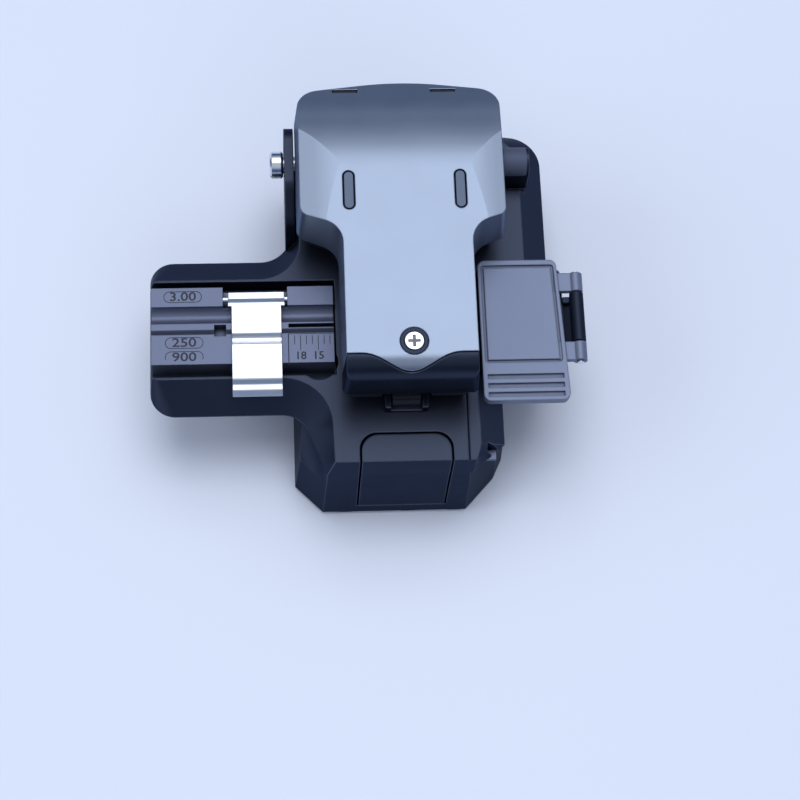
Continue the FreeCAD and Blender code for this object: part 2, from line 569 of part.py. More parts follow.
# ---- scrap bin and lid ------------------------------------------------------------
def scrap_bin():
    shell = prism(rounded(BIN_X0, BIN_X1, BIN_Y0, BIN_Y1, 1.5), BIN_Z0, BIN_Z1)
    w = BIN_WALL
    shell = shell.cut(prism(rounded(BIN_X0 + w, BIN_X1 - w, BIN_Y0 + w, BIN_Y1 - w, 1.0),
                            BIN_Z0 + w, 60))
    # lowered left wall lets the cut end fall in
    shell = shell.cut(box(0, BIN_X0 + w + 0.1, -3.5, 3.5, 25.0, 60))
    shell = shell.fuse(box(BIN_X0, 18.4, -1.5, 3.5, BIN_Z0 - 1.5, BIN_Z0 + 0.2))
    y0, y1 = KNUCKLES[1][0] + KNUCKLE_PLAY, KNUCKLES[1][1] - KNUCKLE_PLAY
    arm = prism([(BIN_X1 - 0.4, 23.0, 0), (BIN_X1 + 0.1, 23.0, 0), (LID_AXIS_X + 1.1, 27.6, 0.6),
                 (LID_AXIS_X + 1.1, LID_AXIS_Z, 0), (LID_AXIS_X - 1.0, LID_AXIS_Z, 0),
                 (LID_AXIS_X - 1.0, 27.7, 0), (BIN_X1 - 0.4, 27.0, 0)], y0, y1 - 1.2, "XZ")
    knuckle = rod_y(y0, y1, LID_AXIS_X, LID_AXIS_Z, KNUCKLE_R)
    shell = shell.fuse(arm).fuse(knuckle)
    keep("scrap_bin", shell.cut(rod_y(-20, 20, LID_AXIS_X, LID_AXIS_Z, LID_PIN_R + RUN)))
    keep("lid_hinge_pin", rod_y(KNUCKLES[0][0] - 0.2, KNUCKLES[2][1] + 0.2, LID_AXIS_X,
                                LID_AXIS_Z, LID_PIN_R))


def scrap_lid():
    """Lid with a raised panel inside a groove, three finger grooves and two knuckles."""
    lid = prism([(LID_X0, LID_Y0, 1.3), (LID_FRONT_X, LID_Y0, 1.3), (LID_REAR_X, LID_Y1, 1.3),
                 (LID_X0, LID_Y1, 1.3)], LID_Z0, LID_Z1)
    outer = [(13.0, -7.6, 0.6), (26.2, -7.6, 0.6), (25.5, 10.2, 0.6), (13.0, 10.2, 0.6)]
    inner = [(13.5, -7.1, 0), (25.7, -7.1, 0), (25.0, 9.7, 0), (13.5, 9.7, 0)]
    lid = lid.cut(prism(outer, LID_Z1 - 0.4, 40).cut(prism(inner, 20, 40)))
    for y in FINGER_GROOVES:
        lid = lid.cut(box(13.3, 26.2, y - 0.4, y + 0.4, LID_Z1 - 0.5, 40))
    for y0, y1 in (KNUCKLES[0], KNUCKLES[2]):
        y0 += KNUCKLE_PLAY
        y1 -= KNUCKLE_PLAY
        lid = lid.fuse(rod_y(y0, y1, LID_AXIS_X, LID_AXIS_Z, KNUCKLE_R))
        lid = lid.fuse(box(LID_REAR_X - 0.5, LID_AXIS_X, y0, y1, LID_Z0 + 0.4, LID_Z1 - 0.25))
    lid = lid.cut(rod_y(-20, 20, LID_AXIS_X, LID_AXIS_Z, LID_PIN_R + RUN))
    keep("scrap_lid", lid)
    keep("lid_seal_pad", prism(rounded(15.2, 24.4, -5.4, 8.2, 1.0), LID_Z0 - 0.9, LID_Z0))


# ---- lever ------------------------------------------------------------------------
SCREW_XY = (0.3, -8.1)
COLLAR_R = 2.35
INLAYS = [(-9.6, "left"), (9.1, "right")]
INLAY_Y = 18.8
REAR_SLOTS = [-9.6, 7.2]
REAR_SLOT_Y = 39.1
EAR_X = (12.4, 15.2)
EAR_R = 3.6
BUSH_R = 2.4
FRAME_BACK_Y = 22.5
WAVE_Y = -10.1      # joint between the cover and the front cap, at its ends
WAVE_DIP = 2.8
WAVE_HALF = 8.2
WAVE_X = -0.2
LATCH_TOP_Z = 30.0


def deck_z(y):
    """Height of the lever's deck, which climbs from the front to the ridge."""
    climb = (RIDGE_Z - LEVER_TOP_Z) / (RIDGE_Y - LEVER_FRONT_Y)
    return LEVER_TOP_Z + climb * (y - LEVER_FRONT_Y)


def rear_z(y):
    """Height of the rear slope behind its bend."""
    bend = RIDGE_Z - REAR_BEND * REAR_SLOPES[0]
    return bend - (y - RIDGE_Y - REAR_BEND) * REAR_SLOPES[1]


def lever_plan(grow):
    """Lever outline: wide back, swept shoulders, narrow nose, arched rear edge."""
    left = LEVER_LEFT + grow
    right = LEVER_RIGHT + grow
    slim = LEVER_NARROW + grow
    front = LEVER_FRONT_Y - grow
    rear = LEVER_REAR_Y + grow
    neck = SHOULDER_Y - grow
    slant = SHOULDER_RISE / (LEVER_LEFT - LEVER_NARROW)
    return [
        (-slim, front, 1.0), (slim, front, 1.0), (slim, neck, 4.2),
        (right, neck + slant * (right - slim), 1.6), (right, rear - REAR_SWEEP * right, 4.2),
        (0, rear, 50), (-left, rear - REAR_SWEEP * left, 4.2),
        (-left, neck + slant * (left - slim), 2.0), (-slim, neck, 4.2),
    ]


def lever_form(grow, drop, low):
    """Lever's outer form, shrunk by a wall when grow is negative and drop is positive."""
    walls = rolled_loft(lever_plan(grow + DRAFT), DECK_Z - DRAFT_H, lever_plan(grow), DECK_Z)

    def front(z):
        """Front wall at a height, with its draft."""
        return LEVER_FRONT_Y - grow - DRAFT * (DECK_Z - z) / DRAFT_H

    tail = LEVER_REAR_Y + 3
    side = prism([(front(low), low, 0), (tail, low, 0), (tail, rear_z(tail) - drop, 0),
                  (RIDGE_Y + REAR_BEND, rear_z(RIDGE_Y + REAR_BEND) - drop, RIDGE_R),
                  (RIDGE_Y, RIDGE_Z - drop, RIDGE_R),
                  (front(LEVER_TOP_Z - drop), LEVER_TOP_Z - drop, NOSE_R - drop)],
                 -30, 30, "YZ")
    crown = CROWN_Z - drop
    fall = (30 - HIP_X) * HIP_SLOPE
    section = prism([(-30, low, 0), (30, low, 0), (30, crown - fall, 0), (HIP_X, crown, HIP_R),
                     (-HIP_X, crown, HIP_R), (-30, crown - fall, 0)], -40, 60, "XZ")
    return walls.common(side).common(section)


def wave_region(shift):
    """Everything in front of the wavy joint between the cover and the front cap."""
    y = WAVE_Y + shift
    bell = []
    for i in range(9):
        u = -1 + i / 4
        dip = WAVE_DIP * math.cos(math.pi * u / 2) ** 2
        bell.append(V(WAVE_X + WAVE_HALF * u, y - dip, 0))
    curve = Part.BSplineCurve()
    curve.interpolate(bell)
    corners = [bell[-1], V(30, y, 0), V(30, -40, 0), V(-30, -40, 0), V(-30, y, 0), bell[0]]
    border = Part.makePolygon(corners)
    return Part.Face(Part.Wire([curve.toShape()] + border.Edges)).extrude(Z_AXIS * 60)


def lever_shell():
    """Lacquered cover, front cap, inlays and the collar with its screw."""
    skin = lever_form(0, 0, SKIRT_Z).cut(lever_form(-SHELL_T, SHELL_T, DECK_Z - DRAFT_H))
    cover = skin.cut(wave_region(SEAT))
    x, y = SCREW_XY
    deck = deck_z(y)
    low = deck - SHELL_T
    for inlay_x, name in INLAYS:
        slot = stadium(inlay_x, INLAY_Y, 2.1, 7.1)
        cover = cover.cut(prism(slot, deck_z(INLAY_Y) - 2 * SHELL_T, 60))
        keep("inlay_" + name, prism(stadium(inlay_x, INLAY_Y, 1.5, 6.5), SKIRT_Z, 60).common(skin))
    cover = cover.cut(rod_z(SKIRT_Z, 60, x, y, COLLAR_R + RUN))
    for slot_x in REAR_SLOTS:
        cover = cover.cut(box(slot_x - 2.2, slot_x + 2.2, REAR_SLOT_Y - 0.4, REAR_SLOT_Y + 0.4,
                              rear_z(REAR_SLOT_Y) - 0.9, 60))
    keep("lever_cover", cover)
    keep("lever_front_cap", skin.common(wave_region(-SEAT)))
    collar = rod_z(low + 0.1, deck + 0.1, x, y, COLLAR_R)
    keep("screw_collar", collar.cut(rod_z(30, 60, x, y, 1.6 + RUN)))
    screw = rod_z(low + 0.1, deck + 0.1, x, y, 1.55).fuse(rod_z(SKIRT_Z, deck - 1, x, y, 1.0))
    for a, b in ((1.0, 0.2), (0.2, 1.0)):
        screw = screw.cut(box(x - a, x + a, y - b, y + b, deck - 0.6, 60))
    keep("cover_screw", screw)


def lever_frame():
    """Moulded frame under the cover, with its bushes, pads and the latch tongue."""
    pad_low = PAD_Z + PAD_GAP
    holder_top = pad_low + PAD_T + UPPER_HOLDER_T
    hollow_z = deck_z(FRAME_BACK_Y) - SHELL_T - ROOF_T
    core = lever_form(-SHELL_T - SEAT, SHELL_T + SEAT, FRAME_LOW_Z)
    core = core.cut(box(-30, 30, FRAME_BACK_Y, 60, 0, 60))
    # hollow back part of the frame, open towards the hinge
    core = core.cut(box(-EAR_X[0] + 1, EAR_X[0] - 1, SHOULDER_Y - 0.4, 60, 0, hollow_z))
    bore = rod_x(-30, 30, HINGE_Y, HINGE_Z, HINGE_PIN_R + RUN)
    for side, name in ((-1, "left"), (1, "right")):
        low, high = sorted((side * EAR_X[0], side * EAR_X[1]))
        ear = prism([(FRAME_BACK_Y - 2.5, FRAME_LOW_Z + 0.4, 0), (HINGE_Y, HINGE_Z - EAR_R + 0.05, 0),
                     (HINGE_Y + 2.5, HINGE_Z + 2.5, 0), (FRAME_BACK_Y + 2.0, hollow_z, 0),
                     (FRAME_BACK_Y - 2.5, hollow_z, 0)], low, high, "YZ")
        core = core.fuse(ear).fuse(rod_x(low, high, HINGE_Y, HINGE_Z, EAR_R))
        core = core.cut(rod_x(low - 0.1, high + 0.1, HINGE_Y, HINGE_Z, BUSH_R + RUN))
        keep("hinge_bush_" + name, rod_x(low, high, HINGE_Y, HINGE_Z, BUSH_R).cut(bore))
    for x, name in zip(PAD_SPOTS, ("left", "right")):
        half_x, half_y = PAD_HALF_X + SEAT, PAD_HALF_Y + SEAT
        core = core.cut(box(x - half_x, x + half_x, -half_y, half_y, 0, holder_top + RUN))
        keep("upper_pad_holder_" + name,
             box(x - PAD_HALF_X, x + PAD_HALF_X, -PAD_HALF_Y, PAD_HALF_Y, pad_low + PAD_T,
                 holder_top))
        keep("upper_pad_" + name, clamp_pad(x, pad_low + PAD_T, pad_low))
    anvil_top = ANVIL_LOW_Z + ANVIL_TIP_T + ANVIL_STEM_H
    core = core.cut(rod_z(0, anvil_top + ANVIL_TRAVEL, 0, 0, ANVIL_R + RUN))
    x, y = SCREW_XY
    core = core.cut(rod_z(SKIRT_Z - 3.0, 60, x, y, 1.0 + RUN))
    core = core.cut(rod_z(deck_z(y) - SHELL_T, 60, x, y, COLLAR_R + RUN))
    core = core.cut(box(-4.6, 3.8, LEVER_FRONT_Y - 3, -11.7, 0, LATCH_TOP_Z))
    keep("lever_frame", core)
    tongue = prism([(-12.0, TOP_Z + 1.0, 0), (-12.0, LATCH_TOP_Z, 0), (-13.5, LATCH_TOP_Z, 0),
                    (-13.5, 28.5, 0), (-14.0, 27.9, 0), (-14.0, TOP_Z + 1.0, 0)],
                   -2.8, 1.9, "YZ")
    keep("latch_tongue", tongue)


def anvil():
    """Sprung stem over the fibre and the tip that bends the fibre for the cleave."""
    foot = ANVIL_LOW_Z + ANVIL_TIP_T
    keep("anvil_stem", rod_z(foot, foot + ANVIL_STEM_H, 0, 0, ANVIL_R))
    keep("anvil_tip", rod_z(ANVIL_LOW_Z, foot, 0, 0, ANVIL_R))


base_housing()
housing_fittings()
fibre_rail()
fibre_clip()
blade_carriage()
scrap_bin()
scrap_lid()
lever_shell()
lever_frame()
anvil()

os.makedirs("parts", exist_ok=True)
for node, shape in PARTS.items():
    shape.exportStep("parts/%s.step" % node)
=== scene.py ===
# %% [markdown]
# A compact fibre cleaver
#
# This lesson dresses a finished construction model: every piece is already in place, at its
# real size, in metres. What is left for Blender is what the eye reads: lacquer, satin black
# castings, bright spring steel, engraved numbers, light and a camera. Each step says what the
# real thing is, how it could be made, and why one way was chosen.
# %% Load the construction model
import json
import math

import bpy
from mathutils import Matrix, Vector


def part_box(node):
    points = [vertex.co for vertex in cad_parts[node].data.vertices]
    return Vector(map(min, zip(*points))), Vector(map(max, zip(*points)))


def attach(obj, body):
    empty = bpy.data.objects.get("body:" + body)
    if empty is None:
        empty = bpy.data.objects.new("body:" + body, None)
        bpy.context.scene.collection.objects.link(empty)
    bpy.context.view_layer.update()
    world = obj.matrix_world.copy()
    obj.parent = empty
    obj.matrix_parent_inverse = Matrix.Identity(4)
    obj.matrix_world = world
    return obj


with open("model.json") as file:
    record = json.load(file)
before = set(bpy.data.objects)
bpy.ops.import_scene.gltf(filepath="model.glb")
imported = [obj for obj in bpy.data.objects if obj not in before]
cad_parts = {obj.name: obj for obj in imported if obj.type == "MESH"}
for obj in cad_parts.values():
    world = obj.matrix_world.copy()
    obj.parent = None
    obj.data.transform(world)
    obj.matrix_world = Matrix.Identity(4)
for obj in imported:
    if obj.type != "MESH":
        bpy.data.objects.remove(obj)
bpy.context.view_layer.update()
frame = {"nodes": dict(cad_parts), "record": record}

nodes = frame["nodes"]
print("pieces in the model:", len(nodes))

# %% [markdown]
# Units and places
#
# The model's zero is on the resting plane, straight below the point where the blade crosses
# the fibre. A reader thinks about a hand tool in millimetres and Blender works in metres, so
# one helper turns one into the other. Places come from the boxes of the pieces themselves, so
# that the numbers on the rail follow the rail.
# %% Millimetres and boxes
MM = 0.001


def mm(x, y, z):
    """A point given in millimetres, as Blender's vector in metres."""
    return Vector((x, y, z)) * MM


def corners(node):
    """Lowest and highest corner of a piece, in millimetres."""
    low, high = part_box(node)
    return [v / MM for v in low], [v / MM for v in high]


rail_low, rail_high = corners("fibre_rail_plate")
ruler_low, ruler_high = corners("ruler_insert")
print("rail from", [round(v, 1) for v in rail_low], "to", [round(v, 1) for v in rail_high])

# %% [markdown]
# The camera
#
# A steep view from above and a little to the left, from about 37 cm, through a long lens.
# A camera looks along its own -Z with +Y up, so its matrix is built from three directions: the
# way back to the camera, its right hand and its up, the last two turned by the roll.
# %% Camera
ELEVATION = math.radians(70.0)
AZIMUTH = math.radians(-10.0)
ROLL = math.radians(8.3)
DISTANCE = 371.0
SENSOR = 36.0
LENS = 99.0
AIM = (-1.5, -12.9, 27.0)

back = Vector((math.sin(AZIMUTH) * math.cos(ELEVATION),
               -math.cos(AZIMUTH) * math.cos(ELEVATION), math.sin(ELEVATION)))
level_right = Vector((math.cos(AZIMUTH), math.sin(AZIMUTH), 0.0))
level_up = back.cross(level_right)
right = level_right * math.cos(ROLL) + level_up * math.sin(ROLL)
up = level_up * math.cos(ROLL) - level_right * math.sin(ROLL)

camera_data = bpy.data.cameras.new("camera")
camera_data.sensor_width = SENSOR
camera_data.lens = LENS
camera_data.clip_start = 0.01
camera_data.clip_end = 20.0
camera = bpy.data.objects.new("camera", camera_data)
bpy.context.scene.collection.objects.link(camera)
turn = Matrix((right, up, back)).transposed().to_4x4()
camera.matrix_world = Matrix.Translation(mm(*AIM) + back * DISTANCE * MM) @ turn
bpy.context.scene.camera = camera
bpy.context.scene.view_settings.view_transform = "Standard"
print("camera at", [round(v, 3) for v in camera.location])

# %% [markdown]
# Floor, sky and lamps
#
# Glossy parts show what is around them, so the surroundings are half of the finish. A large
# soft lamp hangs overhead, tipped from the back: level faces mirror it and turn pale, while
# faces that lean to the back or to the sides mirror the darker sky beside it. That is what
# separates the pale top of the lever from its slate-coloured back slope. Three more lamps
# only lighten the shadows and leave no gloss. The camera itself sees a plain pale backdrop
# in place of the sky, so a low view has no dark horizon.
# %% Helpers to select nothing and to shade
def select_none():
    """Drop every selection, because an operator acts on all that is selected."""
    if bpy.context.object and bpy.context.object.mode == "EDIT":
        bpy.ops.object.mode_set(mode="OBJECT")
    bpy.ops.object.select_all(action="DESELECT")


def node_at(tree, kind, x, y, **settings):
    """Add a shader node at a place in the tree's drawing, with its settings."""
    node = tree.nodes.new(kind)
    node.location = (x, y)
    for key, value in settings.items():
        setattr(node, key, value)
    return node


# %% Floor
select_none()
bpy.ops.mesh.primitive_grid_add(x_subdivisions=24, y_subdivisions=24, size=3.0)
floor = bpy.context.object
floor.name = "floor"

floor_paint = bpy.data.materials.new("pale_table")
floor_paint.use_nodes = True
tree = floor_paint.node_tree
shader = tree.nodes["Principled BSDF"]
shader.inputs["Roughness"].default_value = 0.55
where = node_at(tree, "ShaderNodeTexCoord", -900, 0)
cloud = node_at(tree, "ShaderNodeTexNoise", -700, 0)
cloud.inputs["Scale"].default_value = 3.0
tint = node_at(tree, "ShaderNodeValToRGB", -450, 0)
tint.color_ramp.elements[0].color = (0.63, 0.66, 0.76, 1)
tint.color_ramp.elements[1].color = (0.69, 0.72, 0.81, 1)
tree.links.new(where.outputs["Object"], cloud.inputs["Vector"])
tree.links.new(cloud.outputs["Fac"], tint.inputs["Fac"])
tree.links.new(tint.outputs["Color"], shader.inputs["Base Color"])
floor.data.materials.append(floor_paint)
print("floor:", floor.name)

# %% Sky
world = bpy.data.worlds.new("studio_sky")
bpy.context.scene.world = world
world.use_nodes = True
tree = world.node_tree
sky = tree.nodes["Background"]
sky.inputs["Strength"].default_value = 0.60
where = node_at(tree, "ShaderNodeTexCoord", -900, 0)
split = node_at(tree, "ShaderNodeSeparateXYZ", -700, 0)
height = node_at(tree, "ShaderNodeValToRGB", -450, 0)
height.color_ramp.elements[0].position = 0.40
height.color_ramp.elements[0].color = (0.07, 0.16, 0.36, 1)
height.color_ramp.elements[1].position = 0.72
height.color_ramp.elements[1].color = (0.80, 0.87, 1.0, 1)
tree.links.new(where.outputs["Generated"], split.inputs["Vector"])
tree.links.new(split.outputs["Z"], height.inputs["Fac"])
tree.links.new(height.outputs["Color"], sky.inputs["Color"])
backdrop = node_at(tree, "ShaderNodeBackground", -200, -200)
backdrop.inputs["Color"].default_value = (0.66, 0.72, 0.90, 1)
rays = node_at(tree, "ShaderNodeLightPath", -200, 300)
choose = node_at(tree, "ShaderNodeMixShader", 150, 0)
tree.links.new(rays.outputs["Is Camera Ray"], choose.inputs[0])
tree.links.new(sky.outputs[0], choose.inputs[1])
tree.links.new(backdrop.outputs[0], choose.inputs[2])
tree.links.new(choose.outputs[0], tree.nodes["World Output"].inputs["Surface"])
print("sky strength:", round(sky.inputs["Strength"].default_value, 2))


# %% Lamps
def soft_lamp(name, place, aim, size, watts, colour, mirrored=True):
    """A square area lamp, in metres; one that isn't mirrored only lights, and leaves no gloss."""
    data = bpy.data.lights.new(name, "AREA")
    data.shape = "SQUARE"
    data.size = size
    data.energy = watts
    data.color = colour
    lamp = bpy.data.objects.new(name, data)
    bpy.context.scene.collection.objects.link(lamp)
    lamp.location = place
    look = Vector(aim) - Vector(place)
    lamp.rotation_euler = look.to_track_quat("-Z", "Y").to_euler()
    lamp.visible_glossy = mirrored
    return lamp


soft_lamp("overhead", (0.05, 0.36, 1.15), (0, 0, 0.03), 0.85, 4.0, (0.88, 0.93, 1.0))
soft_lamp("overhead_fill", (0.0, 0.1, 1.25), (0, 0, 0.03), 0.6, 6.0, (0.90, 0.94, 1.0), False)
soft_lamp("left_window", (-1.0, -0.1, 0.8), (0, 0, 0.03), 0.8, 3.5, (0.86, 0.92, 1.0), False)
soft_lamp("front_fill", (0.3, -1.1, 0.9), (0, 0, 0.02), 0.9, 2.5, (0.90, 0.94, 1.0), False)

# %% [markdown]
# Shared effects
#
# Several finishes need the same few effects, so each effect is a node group that is built
# once. Soft edges: a cast or milled corner is never knife sharp, and the Bevel node turns the
# normal near a corner without touching the mesh. Where the turned normal differs from the true
# one there is a corner, and that gives a mask for a painted highlight along the edges.
# %% Group: soft edges
def start_group(name, inputs, outputs):
    """New shader group with float inputs (name, default) and outputs (name, socket type)."""
    group = bpy.data.node_groups.new(name, "ShaderNodeTree")
    for label, value in inputs:
        socket = group.interface.new_socket(name=label, in_out="INPUT",
                                            socket_type="NodeSocketFloat")
        socket.default_value = value
    for label, kind in outputs:
        group.interface.new_socket(name=label, in_out="OUTPUT", socket_type=kind)
    source = node_at(group, "NodeGroupInput", -900, 0)
    sink = node_at(group, "NodeGroupOutput", 700, 0)
    return group, source, sink


soft_edges, source, sink = start_group(
    "soft_edges", [("Radius", 0.0003)],
    [("Normal", "NodeSocketVector"), ("Edge", "NodeSocketFloat")])
turned = node_at(soft_edges, "ShaderNodeBevel", -600, 100, samples=6)
true_normal = node_at(soft_edges, "ShaderNodeNewGeometry", -600, -150)
compare = node_at(soft_edges, "ShaderNodeVectorMath", -350, 0, operation="DOT_PRODUCT")
differ = node_at(soft_edges, "ShaderNodeMath", -150, 0, operation="SUBTRACT")
differ.inputs[0].default_value = 1.0
gain = node_at(soft_edges, "ShaderNodeMath", 50, 0, operation="MULTIPLY", use_clamp=True)
gain.inputs[1].default_value = 6.0
link = soft_edges.links.new
link(source.outputs["Radius"], turned.inputs["Radius"])
link(turned.outputs["Normal"], compare.inputs[0])
link(true_normal.outputs["Normal"], compare.inputs[1])
link(compare.outputs["Value"], differ.inputs[1])
link(differ.outputs[0], gain.inputs[0])
link(turned.outputs["Normal"], sink.inputs["Normal"])
link(gain.outputs[0], sink.inputs["Edge"])

# %% [markdown]
# Painted shade in grooves
#
# The colour is painted darker where shade falls, at the foot of a wall or in a groove.
# Ambient Occlusion, kept to the piece itself, measures how closed in each point is.
# %% Group: painted groove shade
painted_groove_shade, source, sink = start_group(
    "painted_groove_shade", [("Reach", 0.001)], [("Painted shade", "NodeSocketFloat")])
closed_in = node_at(painted_groove_shade, "ShaderNodeAmbientOcclusion", -400, 0, samples=6,
                    only_local=True)
turn_round = node_at(painted_groove_shade, "ShaderNodeMapRange", 0, 0)
turn_round.inputs["From Min"].default_value = 0.95
turn_round.inputs["From Max"].default_value = 0.35
painted_groove_shade.links.new(source.outputs["Reach"], closed_in.inputs["Distance"])
painted_groove_shade.links.new(closed_in.outputs["AO"], turn_round.inputs["Value"])
painted_groove_shade.links.new(turn_round.outputs["Result"], sink.inputs["Painted shade"])

# %% [markdown]
# Grain
#
# Satin coats have a fine bead-blasted grain, and years of fingers leave faint cloudy patches.
# One noise at a fraction of a millimetre gives the grain, another at a few millimetres gives
# the patches. Both read Object coordinates, so the pattern has its real size on every piece.
# %% Group: grain and handling
grain, source, sink = start_group(
    "grain_and_handling", [("Grain", 4000.0), ("Patches", 160.0)],
    [("Height", "NodeSocketFloat"), ("Patch", "NodeSocketFloat")])
where = node_at(grain, "ShaderNodeTexCoord", -700, 0)
fine = node_at(grain, "ShaderNodeTexNoise", -400, 150)
fine.inputs["Detail"].default_value = 3.0
broad = node_at(grain, "ShaderNodeTexNoise", -400, -150)
broad.inputs["Detail"].default_value = 2.0
link = grain.links.new
for noise, label in ((fine, "Grain"), (broad, "Patches")):
    link(where.outputs["Object"], noise.inputs["Vector"])
    link(source.outputs[label], noise.inputs["Scale"])
link(fine.outputs["Fac"], sink.inputs["Height"])
link(broad.outputs["Fac"], sink.inputs["Patch"])

# %% [markdown]
# Brushed metal
#
# Turned and ground steel carries fine parallel scratches. Noise that is stretched along one
# direction by a Mapping node makes them: the Stretch inputs say how many times finer it is
# across the scratches than along them.
# %% Group: brushed lines
brushed, source, sink = start_group(
    "brushed_lines", [("Across X", 3000.0), ("Across Y", 60.0), ("Across Z", 3000.0)],
    [("Height", "NodeSocketFloat")])
where = node_at(brushed, "ShaderNodeTexCoord", -700, 100)
pack = node_at(brushed, "ShaderNodeCombineXYZ", -700, -150)
stretch = node_at(brushed, "ShaderNodeVectorMath", -450, 0, operation="MULTIPLY")
lines = node_at(brushed, "ShaderNodeTexNoise", -200, 0)
lines.inputs["Scale"].default_value = 1.0
lines.inputs["Detail"].default_value = 2.0
link = brushed.links.new
for axis in "XYZ":
    link(source.outputs["Across " + axis], pack.inputs[axis])
link(where.outputs["Object"], stretch.inputs[0])
link(pack.outputs[0], stretch.inputs[1])
link(stretch.outputs[0], lines.inputs["Vector"])
link(lines.outputs["Fac"], sink.inputs["Height"])
print("groups:", [g.name for g in bpy.data.node_groups])


# %% [markdown]
# A finish in one function
#
# Paint, anodising and moulded plastic differ only in colour, sheen and grain, so one function
# makes them all: base colour varies a little between two tones by the handling patches, edges
# get a painted highlight, grooves and the foot of walls get painted shade, roughness follows
# the patches and the grain feeds a bump over the soft edges.
# Constant values are set on the shader's own sockets.
# %% Function: coated surface
# Painted shade in grooves: how far Ambient Occlusion looks, in millimetres, and how dark the
# shaded colour is against the dark tone.
SHADE_REACH = 1.4
SHADE_TONE = 0.12
GRAIN_DEPTH = 0.00005


def coated(name, dark, light, edge, rough, metal=0.0, radius=0.25, bump=0.12,
           grain_scale=4000.0, edge_highlight_share=0.5, grazing=(1.0, 1.0, 1.0), crevice_shade=0.0):
    """Material for a coated or moulded surface; radius is the soft edge in millimetres.

    grazing is how much of a flat look across the surface is mirrored, for metallic coats.
    """
    material = bpy.data.materials.new(name)
    material.use_nodes = True
    tree = material.node_tree
    link = tree.links.new
    shader = tree.nodes["Principled BSDF"]
    shader.inputs["Metallic"].default_value = metal
    shader.inputs["Specular Tint"].default_value = (*grazing, 1)
    edges = node_at(tree, "ShaderNodeGroup", -900, 200, node_tree=soft_edges)
    edges.inputs["Radius"].default_value = radius * MM
    marks = node_at(tree, "ShaderNodeGroup", -900, -100, node_tree=grain)
    marks.inputs["Grain"].default_value = grain_scale
    tones = node_at(tree, "ShaderNodeMix", -600, 0, data_type="RGBA")
    tones.inputs["A"].default_value = (*dark, 1)
    tones.inputs["B"].default_value = (*light, 1)
    # Painted highlight: near a corner the colour is mixed towards the lighter edge colour.
    share = node_at(tree, "ShaderNodeMath", -600, 250, operation="MULTIPLY")
    share.inputs[1].default_value = edge_highlight_share
    edge_highlighted = node_at(tree, "ShaderNodeMix", -350, 50, data_type="RGBA")
    edge_highlighted.inputs["B"].default_value = (*edge, 1)
    link(marks.outputs["Patch"], tones.inputs["Factor"])
    link(edges.outputs["Edge"], share.inputs[0])
    link(share.outputs[0], edge_highlighted.inputs["Factor"])
    link(tones.outputs["Result"], edge_highlighted.inputs["A"])
    # Painted shade: the colour turns towards a much darker copy of the dark tone where Ambient
    # Occlusion finds a groove or the foot of a wall.
    shade_node = node_at(tree, "ShaderNodeGroup", -600, 450, node_tree=painted_groove_shade)
    shade_node.inputs["Reach"].default_value = SHADE_REACH * MM
    shade_amount = node_at(tree, "ShaderNodeMath", -350, 350, operation="MULTIPLY")
    shade_amount.inputs[1].default_value = crevice_shade
    shaded_colour = node_at(tree, "ShaderNodeMix", -150, 150, data_type="RGBA")
    shaded_colour.inputs["B"].default_value = (*[c * SHADE_TONE for c in dark], 1)
    link(shade_node.outputs["Painted shade"], shade_amount.inputs[0])
    link(shade_amount.outputs[0], shaded_colour.inputs["Factor"])
    link(edge_highlighted.outputs["Result"], shaded_colour.inputs["A"])
    link(shaded_colour.outputs["Result"], shader.inputs["Base Color"])
    gloss = node_at(tree, "ShaderNodeMapRange", -350, -200)
    gloss.inputs["To Min"].default_value = rough - 0.03
    gloss.inputs["To Max"].default_value = rough + 0.06
    link(marks.outputs["Patch"], gloss.inputs["Value"])
    link(gloss.outputs["Result"], shader.inputs["Roughness"])
    relief = node_at(tree, "ShaderNodeBump", -350, -450)
    relief.inputs["Strength"].default_value = bump
    relief.inputs["Distance"].default_value = GRAIN_DEPTH
    link(marks.outputs["Height"], relief.inputs["Height"])
    link(edges.outputs["Normal"], relief.inputs["Normal"])
    link(relief.outputs["Normal"], shader.inputs["Normal"])
    return material


# %% [markdown]
# The coats of this tool
#
# The lever wears a metallic blue-grey lacquer. The castings are satin black with a cold cast,
# the rail and the bin's lid a lighter anodised grey, and the inner frame a matte black
# moulding. The dark coats are mostly metallic, which keeps them dark under a bright sky, and
# DULL holds back what they mirror at a flat angle.
# The castings, the rail and the lid also get painted shade in their grooves and at the foot of
# their walls.
# %% Coated materials
DULL = (0.30, 0.33, 0.38)
LACQUER = coated("lacquer_blue_grey", (0.275, 0.320, 0.405), (0.305, 0.350, 0.44),
                 (0.42, 0.50, 0.66), 0.33, metal=0.88, radius=0.25, bump=0.02,
                 grain_scale=1500.0, grazing=(0.12, 0.18, 0.30))
CASTING = coated("casting_satin_black", (0.036, 0.043, 0.066), (0.047, 0.055, 0.083),
                 (0.24, 0.27, 0.36), 0.36, metal=0.88, radius=0.35, edge_highlight_share=0.6,
                 grazing=DULL, crevice_shade=0.7)
CAP = coated("cap_satin_black", (0.026, 0.033, 0.054), (0.032, 0.041, 0.066),
             (0.12, 0.15, 0.22), 0.34, metal=0.88, radius=0.4, bump=0.06, grazing=DULL)
FRAME = coated("frame_matte_black", (0.006, 0.008, 0.013), (0.010, 0.012, 0.019),
               (0.02, 0.025, 0.04), 0.60)
RAIL = coated("rail_anodised_grey", (0.120, 0.135, 0.200), (0.150, 0.168, 0.245),
              (0.28, 0.30, 0.40), 0.36, metal=0.6, radius=0.12, grazing=DULL, crevice_shade=0.9)
